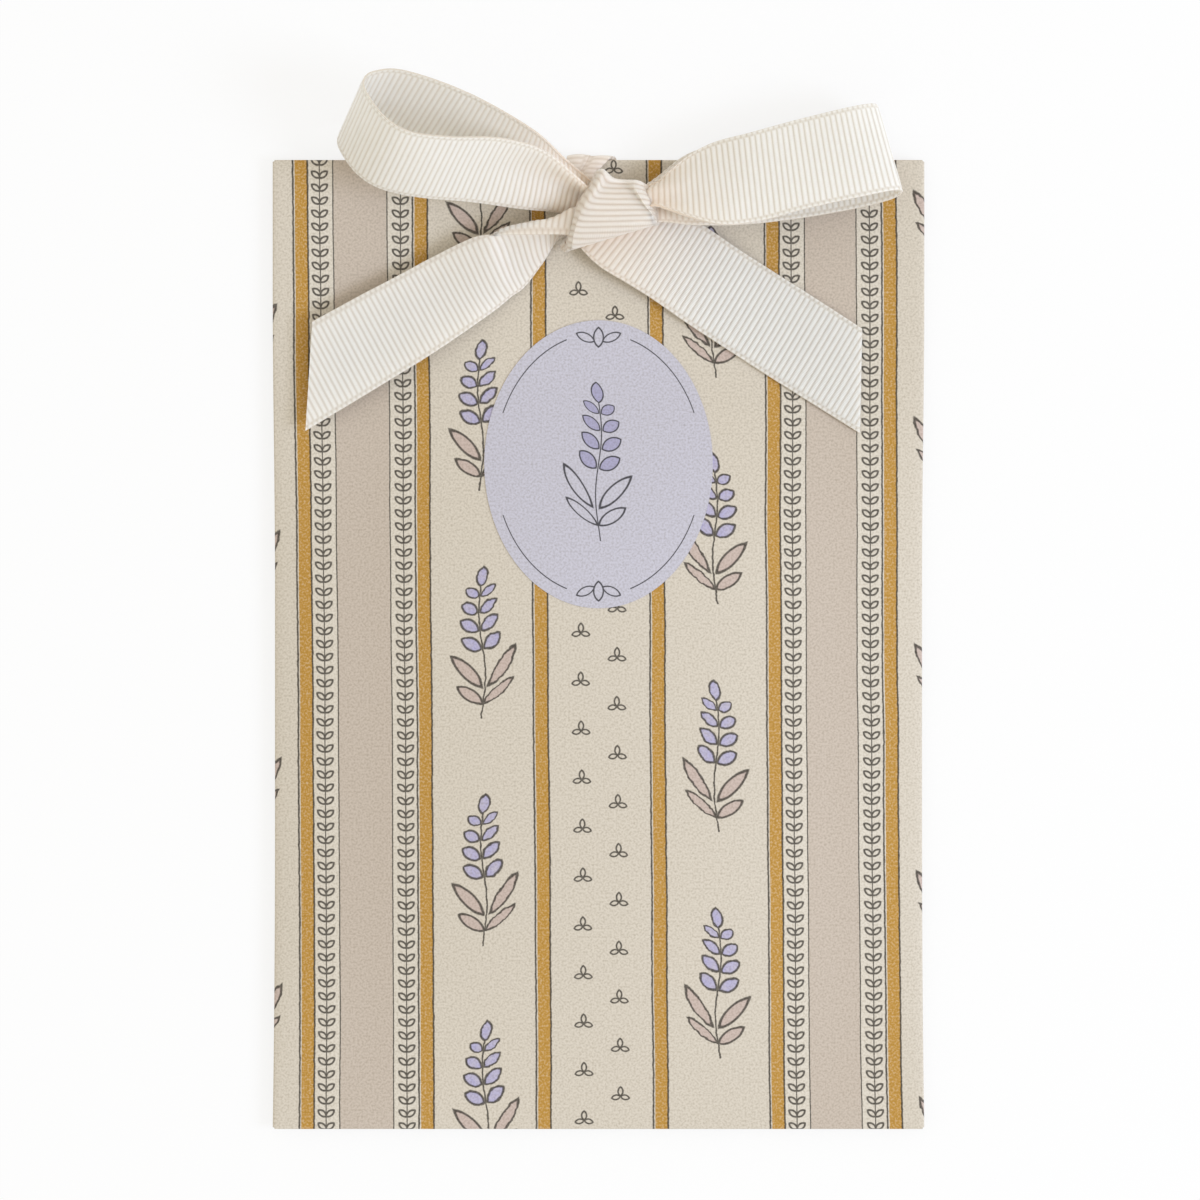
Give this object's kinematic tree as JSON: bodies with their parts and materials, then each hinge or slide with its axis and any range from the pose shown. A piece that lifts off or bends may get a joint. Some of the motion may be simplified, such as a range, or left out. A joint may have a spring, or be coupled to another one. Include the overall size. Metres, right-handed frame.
{
  "type": "lavender sachet",
  "caption": "Flat stuffed paper scent sachet with a crowned striped front, an oval label and a ribbon bow tied through a punched hole at its top edge.",
  "frame": {"origin": "middle of the envelope's flat back, on the face that it rests on", "axes": "+Z out of the printed front, +Y along the height towards the bow, +X to the right as seen from the front"},
  "size_m": [0.115, 0.1869, 0.0238],
  "materials": {
    "printed_paper": "matte",
    "plain_paper": "matte",
    "dried_glue": "satin",
    "non_woven": "matte",
    "granules": "matte",
    "label_paper": "matte",
    "grosgrain": "satin"
  },
  "bodies": {
    "sachet": {"front_sheet": "printed_paper", "back_sheet": "plain_paper", "glue_left": "dried_glue", "glue_right": "dried_glue", "glue_bottom": "dried_glue", "glue_top": "dried_glue", "pouch_back_web": "non_woven", "pouch_front_web": "non_woven", "scented_filling": "granules", "oval_label": "label_paper", "ribbon_strap": "grosgrain", "knot_core": "grosgrain", "knot_wrap": "grosgrain"},
    "loop_left": {"bow_loop_left": "grosgrain"},
    "loop_right": {"bow_loop_right": "grosgrain"},
    "tail_left": {"bow_tail_left": "grosgrain"},
    "tail_right": {"bow_tail_right": "grosgrain"}
  },
  "joints": [
    {"name": "loop_left_lift", "type": "hinge", "parent": "sachet", "child": "loop_left", "pos_m": [-0.0057, 0.0795, 0.0115], "axis": [0.3499, 0.9368, 0], "range_deg": [0, 50]},
    {"name": "loop_right_lift", "type": "hinge", "parent": "sachet", "child": "loop_right", "pos_m": [0.0091, 0.077, 0.0108], "axis": [0.23, -0.9732, 0], "range_deg": [0, 50]},
    {"name": "tail_left_lift", "type": "hinge", "parent": "sachet", "child": "tail_left", "pos_m": [-0.0062, 0.0709, 0.0046], "axis": [-0.4801, 0.8772, 0], "range_deg": [0, 70]},
    {"name": "tail_right_lift", "type": "hinge", "parent": "sachet", "child": "tail_right", "pos_m": [0.0101, 0.0684, 0.0046], "axis": [-0.5151, -0.8571, 0], "range_deg": [0, 70]}
  ]
}
